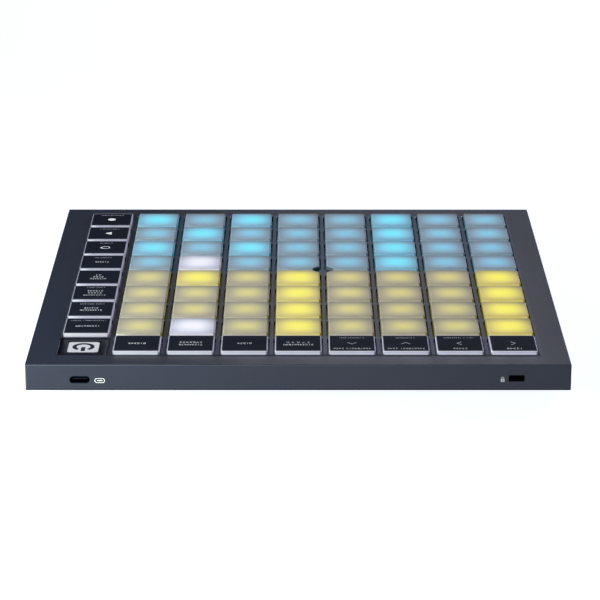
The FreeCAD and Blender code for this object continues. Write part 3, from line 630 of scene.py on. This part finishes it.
def key_solid(bm, x, y, rim, look, corner=None, printed=None):
    """One key: light well, plunger, flange, cap with a rounded rim, and on a function key the printed top."""
    plain = [0.0] * 4
    legs = with_leg(corner, CENTRE_CUT)
    flange = with_leg(corner, CENTRE_FLANGE_CUT, FLANGE_CUT)
    rings = [
        outline(WELL - 1.0, plain, 0.6, Z_WELL, x, y),
        outline(WELL - 0.3, plain, 0.9, Z_WELL - 0.12, x, y),
        outline(WELL, plain, 1.0, Z_WELL - 0.5, x, y),
        outline(WELL, plain, 1.0, Z_PLUNGER + 0.15, x, y),
        outline(WELL + 0.3, plain, 1.1, Z_PLUNGER, x, y),
        outline(PLUNGER - 0.4, plain, 1.3, Z_PLUNGER, x, y),
        outline(PLUNGER, plain, 1.5, Z_PLUNGER + 0.2, x, y),
        outline(PLUNGER, plain, 1.5, Z_FLANGE - 0.25, x, y),
        outline(PLUNGER + 0.5, plain, 1.7, Z_FLANGE, x, y),
        outline(FLANGE - 0.3, [max(c - 0.15 * DIAG, 0) for c in flange], 0.2, Z_FLANGE, x, y),
        outline(FLANGE, flange, 0.3, Z_FLANGE + 0.15, x, y),
        outline(FLANGE, flange, 0.3, Z_FLANGE_TOP - 0.15, x, y),
        outline(FLANGE - 0.3, [max(c - 0.15 * DIAG, 0) for c in flange], 0.2, Z_FLANGE_TOP, x, y),
        outline(KEY + 0.2, [c + 0.1 * DIAG if c else 0 for c in legs], KEY_R + 0.1, Z_FLANGE_TOP, x, y),
        outline(KEY, legs, KEY_R, Z_FLANGE_TOP + 0.1, x, y),
        outline(KEY, legs, KEY_R, Z_KEY - rim - 0.12, x, y),
    ]
    top = Z_KEY if printed is None else Z_KEY - 0.03
    steps = 7

    def inset(t, z):
        return outline(KEY - 2 * t, [max(c - t * DIAG, 0.05) if c else 0 for c in legs], KEY_R - t, z, x, y)

    for k in range(steps + 1):
        a = math.pi / 2 * k / steps
        rings.append(inset(rim * (1 - math.cos(a)), top - rim + rim * math.sin(a)))
    marks = [look] * (len(rings) - 1)
    if printed is None:
        rings.append(inset(rim + 0.06, top))
        marks += [look, look]
    else:
        for side, end, z in ((0.505, 0.505, 0), (0.52, 0.52, 0), (0.53, 0.53, 0.012), (0.60, 0.60, 0.015)):
            ring = inset(side, top + z)
            for p in ring:           # the print stops farther from the edge at the player's end
                reach = end if p.y > y * MM else end + 0.4
                p.y = y * MM + (p.y - y * MM) * (KEY - 2 * reach) / (KEY - 2 * side)
            rings.append(ring)
        marks += [look, look, printed, printed, printed]
    loft(bm, rings, marks)


def finish_mesh(bm, name, looks, angle=32.0):
    bmesh.ops.recalc_face_normals(bm, faces=bm.faces)
    mesh = bpy.data.meshes.new(name)
    bm.to_mesh(mesh)
    bm.free()
    mesh.shade_smooth()
    mesh.set_sharp_from_angle(angle=math.radians(angle))
    for look in looks:
        mesh.materials.append(look)
    ob = bpy.data.objects.new(name, mesh)
    bpy.context.scene.collection.objects.link(ob)
    return ob


# The lit pattern: rows run from the player (0) to the rear, columns from the player's right (0) to the left.
BRIGHT_BLUE = {(0, 0), (0, 2), (0, 5), (1, 1), (1, 5), (2, 0), (2, 2), (2, 5), (3, 5)}
BRIGHT_YELLOW = {(4, 1), (4, 3), (4, 7), (5, 3), (5, 7), (6, 3), (6, 7), (7, 3), (7, 7)}
WHITE = {(3, 1), (7, 1)}


def colour_of(row, col):
    if (row, col) in WHITE:
        return "white"
    if (row, col) in BRIGHT_BLUE:
        return "cyan"
    if (row, col) in BRIGHT_YELLOW:
        return "yellow"
    return "blue" if row < 4 else "pale_yellow"


for row in range(8):
    for left in range(0, 8, 2):
        node = "pads_r%d_c%d%d" % (row + 1, left + 1, left + 2)
        bm = bmesh.new()
        looks = []
        for col in (left, left + 1):
            look = pad_look[colour_of(row, 7 - col)]
            if look not in looks:
                looks.append(look)
            x, y = GRID[col], GRID[row]
            key_solid(bm, x, y, PAD_RIM, looks.index(look), centre_corner(x, y))
        ob = finish_mesh(bm, node + "_silicone", looks)
        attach(ob, node)
        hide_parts(node)

KEYS = [("rear_key_%d" % (i + 1), GRID[i], LAST) for i in range(8)]
KEYS += [("side_key_%d" % (i + 1), LAST, GRID[7 - i]) for i in range(8)]
for node, x, y in KEYS:
    bm = bmesh.new()
    key_solid(bm, x, y, FKEY_RIM, 0, printed=1)
    ob = finish_mesh(bm, node + "_cap", [key_look, print_look])
    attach(ob, node)
    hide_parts(node)


# ---------------------------------------------------------------------- legends
def stroke(points, width):
    """The outline of a line of that width through the points, with mitred bends and square ends."""
    pts = [Vector(p) for p in points]
    left, right = [], []
    for i, p in enumerate(pts):
        before = (p - pts[i - 1]).normalized() if i else None
        after = (pts[i + 1] - p).normalized() if i < len(pts) - 1 else None
        d = (before or after) if not (before and after) else (before + after).normalized()
        normal = Vector((-d.y, d.x))
        reach = width / 2
        if before and after:
            reach /= max(0.3, normal.dot(Vector((-before.y, before.x))))
        left.append(p + normal * reach)
        right.append(p - normal * reach)
    return [tuple(p) for p in left + right[::-1]]


def disc(cx, cy, r, n=40, turn=0.0, ry=None):
    return [(cx + r * math.cos(2 * math.pi * k / n + turn), cy + (r if ry is None else ry) * math.sin(2 * math.pi * k / n + turn))
            for k in range(n)]


def bar(cx, cy, w, h):
    return [(cx - w / 2, cy - h / 2), (cx + w / 2, cy - h / 2), (cx + w / 2, cy + h / 2), (cx - w / 2, cy + h / 2)]


def rounded(cx, cy, w, h, r, n=8):
    out = []
    for i, (sx, sy) in enumerate(((-1, -1), (1, -1), (1, 1), (-1, 1))):
        for k in range(n + 1):
            a = math.radians(180 + 90 * i + 90 * k / n)
            out.append((cx + sx * (w / 2 - r) + r * math.cos(a), cy + sy * (h / 2 - r) + r * math.sin(a)))
    return out


def arc(cx, cy, r, a0, a1, n=24):
    return [(cx + r * math.cos(math.radians(a0 + (a1 - a0) * k / n)), cy + r * math.sin(math.radians(a0 + (a1 - a0) * k / n)))
            for k in range(n + 1)]


def filled(shapes, half):
    """A flat plate of the outlines, with holes where one lies inside another, as (vertices, faces) in mm."""
    curve = bpy.data.curves.new("plate", "CURVE")
    curve.dimensions, curve.fill_mode, curve.extrude = "2D", "BOTH", half
    for shape in shapes:
        s = curve.splines.new("POLY")
        s.points.add(len(shape) - 1)
        for p, (x, y) in zip(s.points, shape):
            p.co = (x, y, 0, 1)
        s.use_cyclic_u = True
    return as_mesh(curve)


def digits(text, size, half, width):
    """Plain numbers centred on the origin, size mm tall, drawn out to the width."""
    curve = bpy.data.curves.new("number", "FONT")
    curve.body = text
    curve.size = size / 0.72
    curve.extrude = half
    curve.offset = -0.004 * size
    curve.resolution_u = 5
    curve.space_character = 1.04
    v, f = as_mesh(curve)
    xs, ys = [p[0] for p in v], [p[1] for p in v]
    cx, cy = (min(xs) + max(xs)) / 2, (min(ys) + max(ys)) / 2
    wide = width / (max(xs) - min(xs))
    return [((x - cx) * wide, y - cy, z) for x, y, z in v], f


def as_mesh(curve):
    ob = bpy.data.objects.new("tmp_curve", curve)
    bpy.context.scene.collection.objects.link(ob)
    bpy.context.view_layer.update()
    mesh = bpy.data.meshes.new_from_object(ob.evaluated_get(bpy.context.evaluated_depsgraph_get()))
    v = [tuple(p.co) for p in mesh.vertices]
    f = [tuple(p.vertices) for p in mesh.polygons]
    bpy.data.objects.remove(ob)
    bpy.data.meshes.remove(mesh)
    bpy.data.curves.remove(curve)
    return v, f


def plates(name, parts, place, looks, body):
    """One piece of thin printed marks. parts are (vertices, faces, look number), and place takes their mm to the object."""
    bm = bmesh.new()
    for v, f, look in parts:
        made = [bm.verts.new(place(*p)) for p in v]
        for face in f:
            try:
                bm.faces.new([made[i] for i in face]).material_index = look
            except ValueError:
                pass
    bmesh.ops.remove_doubles(bm, verts=bm.verts, dist=1e-7)
    ob = finish_mesh(bm, name, looks)
    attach(ob, body)
    return ob


INK = 0.0075                # half the ink's thickness, in mm


MAIN, SMALL = 1.75, 1.15    # height of the two sizes of numbers, in mm


def numbers(rows, shapes=(), solid=()):
    """The marks of one key: rows are (numbers, height above the middle, width, look)."""
    parts = []
    for text, cy, width, look in rows:
        v, f = digits(text, SMALL if look == 2 else MAIN, INK, width)
        parts.append(([(x, y + cy, z) for x, y, z in v], f, look))
    if shapes:
        parts.append((*filled(shapes, INK), 3))
    if solid:
        parts.append((*filled(solid, INK), 4))
    return parts


def chevron(turn):
    c, s = math.cos(math.radians(turn)), math.sin(math.radians(turn))
    pts = [(1.05, 2.05), (-1.05, 0.0), (1.05, -2.05)]
    return [stroke([(c * x - s * y, 0.65 + s * x + c * y) for x, y in pts], 0.35)]


LEGENDS = {
    "rear_key_1": numbers([("12345", 7.7, 6.5, 1)], chevron(0)),
    "rear_key_2": numbers([("23456", 7.7, 6.5, 3), ("1011 2 134567890", -6.7, 13.4, 2)], chevron(180)),
    "rear_key_3": numbers([("345678901 2345", 7.7, 16.8, 3), ("2 0123456789", -6.7, 8.6, 2)], chevron(90)),
    "rear_key_4": numbers([("456789012 3456", 7.7, 16.8, 3), ("3 1234567 8901", -6.7, 11.0, 2)], chevron(270)),
    "rear_key_5": numbers([("51234567890", 2.6, 13.4, 1), ("3 7 8 9 0", -0.5, 10.6, 3)]),
    "rear_key_6": numbers([("61234", 0.8, 6.4, 0)]),
    "rear_key_7": numbers([("712345678", 2.6, 10.4, 1), ("7765432", -0.6, 10.2, 1)]),
    "rear_key_8": numbers([("812345", 0.8, 7.8, 0)]),
    "side_key_1": numbers([("123456789", 1.1, 10.6, 1), ("1 01234567890 1 234567", -6.7, 16.0, 2)]),
    "side_key_2": numbers([("212345678", 2.5, 10.2, 1), ("212345", -0.6, 6.6, 1), ("2 3456 789012345", -6.5, 11.4, 2)]),
    "side_key_3": numbers([("312345678", 4.3, 10.5, 3), ("31234", 1.1, 6.6, 1), ("312345", -2.0, 7.4, 1),
                           ("3 4567 89012", -7.0, 8.7, 2)]),
    "side_key_4": numbers([("4123456", 3.4, 8.0, 1), ("4123", 0.5, 5.0, 0), ("41", -2.5, 2.6, 1)]),
    "side_key_5": numbers([("512345", 0.9, 6.5, 0), ("5 678901234", -6.3, 8.4, 2)]),
    "side_key_6": numbers([("6 7890123", -6.3, 6.2, 2)],
                          solid=[rounded(-0.1, 1.1, 4.3, 3.7, 1.6), rounded(-0.1, 1.1, 3.56, 2.96, 1.27)]),
    "side_key_7": numbers([("7 890123456 7", -6.5, 10.0, 2)], solid=[[(-1.5, 3.0), (-1.5, -1.35), (1.75, 0.8)]]),
    "side_key_8": numbers([("8 9012345 67890", -6.7, 11.6, 2)], solid=[disc(0, 0.6, 1.95)]),
}
# the loop's arrow head
LEGENDS["side_key_6"].append((*filled([[(1.25, 1.8), (2.75, 1.8), (2.0, 0.4)]], INK * 0.98), 4))

INK_Z = Z_KEY - 0.009
for node, x, y in KEYS:
    def place(px, py, pz, x=x, y=y):
        return Vector(((x + px) * MM, (y + py) * MM, (INK_Z + pz) * MM))
    plates(node + "_legend", LEGENDS[node], place, [ink_white, ink_soft, ink_grey, ink_dim, ink_lit], node)


# ---------------------------------------------------------------- corner window
def ring_solid(bm, profile):
    """A closed band: profile is [(width, radius, z), ...] round its section."""
    rings = [outline(w, [0.0] * 4, r, z, LAST, LAST) for w, r, z in profile]
    loops = [[bm.verts.new(p) for p in ring] for ring in rings]
    n = len(loops[0])
    for i in range(len(loops)):
        a, b = loops[i], loops[(i + 1) % len(loops)]
        for k in range(n):
            bm.faces.new((a[k], a[(k + 1) % n], b[(k + 1) % n], b[k]))


WINDOW_TOP, WINDOW_LOW = 14.9, 12.2
bm = bmesh.new()
ring_solid(bm, [
    (13.8, 1.35, WINDOW_LOW), (23.2, 1.0, WINDOW_LOW), (23.2, 1.0, 13.2), (21.8, 1.0, 13.2), (21.8, 1.0, WINDOW_TOP - 0.2),
    (21.8 - 0.06, 0.97, WINDOW_TOP - 0.1), (21.8 - 0.2, 0.9, WINDOW_TOP - 0.03), (21.8 - 0.4, 0.8, WINDOW_TOP),
    (14.1, 1.5, WINDOW_TOP), (13.9, 1.4, WINDOW_TOP - 0.04), (13.8, 1.35, WINDOW_TOP - 0.16),
])
window_frame = finish_mesh(bm, "corner_window_frame", [window_frame_material()])
bm = bmesh.new()
loft(bm, [outline(w, [0.0] * 4, r, z, LAST, LAST) for w, r, z in (
    (15.6, 1.3, 11.4), (15.6, 1.3, 12.2), (13.7, 1.3, 12.2), (13.7, 1.3, WINDOW_TOP - 0.12),
    (13.62, 1.26, WINDOW_TOP - 0.04), (13.5, 1.2, WINDOW_TOP - 0.015), (13.3, 1.1, WINDOW_TOP - 0.012))], [0] * 7)
window_light = finish_mesh(bm, "corner_window_light", [window_light_material()])
for ob in (window_frame, window_light):
    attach(ob, "case")
    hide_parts("corner_window")

# a plain standby mark on the light
gap = 33.0
outer = arc(0, 0, 5.0, 90 + gap, 450 - gap, 48)
inner = arc(0, 0, 3.1, 450 - gap, 90 + gap, 48)
marks = [(*filled([outer + inner], 0.005), 0), (*filled([rounded(0, 3.1, 1.9, 5.4, 0.4)], 0.005), 0)]
plates("corner_window_mark", marks,
       lambda px, py, pz: Vector(((LAST + px) * MM, (LAST - 0.35 + py) * MM, (WINDOW_TOP - 0.006 + pz) * MM)),
       [glyph_dark], "case")

# -------------------------------------------------------- marks on the rear wall
# Seen from behind, the wall's right is -X. The port's mark shows a plug's outline, and the lock's a padlock.
HALF = 120.5
THIN = 0.002


def on_wall(cx, cz):
    return lambda px, py, pz: Vector(((cx - px) * MM, (HALF + 0.0015 + pz) * MM, (cz + py) * MM))


port = [(*filled([rounded(0, 0, 4.55, 2.15, 1.07, 10), rounded(0, 0, 4.09, 1.69, 0.84, 10)], THIN), 0),
        (*filled([rounded(0, 0, 2.5, 0.36, 0.17)], THIN), 0)]
plates("port_mark", port, on_wall(87.6, 7.7), [wall_white], "case")
shackle = arc(0, 0.45, 0.66, 180, 0, 20)
shackle_in = arc(0, 0.45, 0.40, 0, 180, 20)
lock = [(*filled([rounded(0, -0.45, 1.7, 1.45, 0.2), rounded(0, -0.5, 0.5, 0.62, 0.24)], THIN), 0),
        (*filled([[(-0.66, 0.25)] + shackle + [(0.66, 0.25), (0.40, 0.25)] + shackle_in + [(-0.40, 0.25)]], THIN), 0)]
plates("lock_mark", lock, on_wall(-90.2, 8.35), [wall_grey], "case")

# -------------------------------------------------- materials of the CAD's nodes
# the port's shell is near-black: black-plated steel, darkened further as painted shade so that the port reads dark
# inside
steel = metal_material("socket_steel_look", (0.013, 0.014, 0.022), (0.024, 0.026, 0.037), 0.5, (40, 1, 40))
LOOKS = {
    "top_case": case_material(),
    "base_cover": base_material(),
    "rubber_feet": rubber_material(),
    "case_screws": metal_material("screw_steel_look", (0.05, 0.05, 0.052), (0.09, 0.09, 0.094), 0.34, (1, 1, 30)),
    "main_board": board_material(),
    "board_chips": chip_material(),
    "key_leds": led_material(),
    "sensor_film": film_material(),
    "keymat_web": web_material(),
    "usb_c_socket": steel,
    "lock_anchor_plate": plate_material(),
}
for node, look in LOOKS.items():
    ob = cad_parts[node]
    for s in ob.material_slots:
        s.material = look
    if not ob.material_slots:
        ob.data.materials.append(look)

# ------------------------------------------------------------------ the setting
bm = bmesh.new()
side = 6.0
grid = 24
vs = [[bm.verts.new(((i / grid - 0.5) * 2 * side, (j / grid - 0.5) * 2 * side, 0)) for j in range(grid + 1)] for i in range(grid + 1)]
for i in range(grid):
    for j in range(grid):
        bm.faces.new((vs[i][j], vs[i + 1][j], vs[i + 1][j + 1], vs[i][j + 1]))
m = Nodes("pale_floor")
m.set(Base_Color=m.mix(m.span(m.noise(3, 2, 0.5), 0.3, 0.7, 0, 1), (0.295, 0.295, 0.296), (0.305, 0.305, 0.306)))
m.bsdf.inputs["Roughness"].default_value = 0.7
m.bsdf.inputs["Emission Color"].default_value = (0.965, 1.0, 1.13, 1)    # a lit table
m.bsdf.inputs["Emission Strength"].default_value = 0.93
m.bsdf.inputs["Specular IOR Level"].default_value = 0.2
floor = finish_mesh(bm, "floor", [m.mat])

world = bpy.data.worlds.new("studio")
bpy.context.scene.world = world
world.use_nodes = True
back = world.node_tree.nodes["Background"]
back.inputs["Color"].default_value = (0.93, 0.96, 1.0, 1)
back.inputs["Strength"].default_value = 0.01


def softbox(name, at, aim, size, power, colour=(1, 1, 1)):
    data = bpy.data.lights.new(name, "AREA")
    data.shape = "RECTANGLE"
    data.size, data.size_y = size
    data.energy = power
    data.color = colour
    ob = bpy.data.objects.new(name, data)
    ob.location = at
    ob.rotation_mode = "QUATERNION"
    ob.rotation_quaternion = (Vector(aim) - Vector(at)).to_track_quat("-Z", "Y")
    ob.visible_camera = False
    bpy.context.scene.collection.objects.link(ob)
    return ob


FRONT, BACK = (0.83, 1.0, 1.0), (0.967, 1.0, 1.2)
# name, bearing from +Y towards +X, height in degrees, distance and size in m, watts, colour
for name, bearing, height, away, size, watts, colour in (
    ("left_low", 52, 4.1, 0.42, (0.2, 0.08), 3.3, (0.83, 0.95, 0.76)),
    ("left_side", 75, 12, 0.5, (0.2, 0.16), 2.82, FRONT),
    ("left_fill", 60, 12, 0.6, (0.2, 0.16), 0.80, FRONT),
    ("back_high", 185, 30, 1.3, (0.36, 0.3), 0.81, BACK),
    ("back_right", 215, 12, 1.3, (0.55, 0.4), 3.7, BACK),
    ("right_low", 235, 14, 1.3, (1.2, 0.55), 8.3, BACK),
):
    az, el = math.radians(bearing), math.radians(height)
    at = away * Vector((math.sin(az) * math.cos(el), math.cos(az) * math.cos(el), math.sin(el)))
    box = softbox(name, at, (0, 0, 0), size, watts, colour)
    box.visible_glossy = away > 1      # the near ones would glare on the panel from the far side

# ------------------------------------------------------------------- the camera
cam_data = bpy.data.cameras.new("camera")
cam_data.sensor_width = 36.0
cam_data.lens = 158.7096
cam_data.clip_start, cam_data.clip_end = 0.05, 50
cam = bpy.data.objects.new("camera", cam_data)
pitch, roll, yaw = math.radians(18.4404), math.radians(0.0315), math.radians(0.0568)
side_way = Vector((-math.cos(yaw), math.sin(yaw), 0))
level = Vector((-math.sin(yaw), -math.cos(yaw), 0))
ahead = math.cos(pitch) * level + Vector((0, 0, -math.sin(pitch)))
down = -(Vector((0, 0, math.cos(pitch))) + math.sin(pitch) * level)
right = math.cos(roll) * side_way - math.sin(roll) * down
below = math.sin(roll) * side_way + math.cos(roll) * down
turn = Matrix((right, -below, -ahead)).transposed()
cam.matrix_world = Matrix.Translation((0.00032, 1.2164, 0.41064)) @ turn.to_4x4()
bpy.context.scene.collection.objects.link(cam)
bpy.context.scene.camera = cam
bpy.context.scene.view_settings.view_transform = "Standard"
bpy.context.scene.view_settings.look = "None"
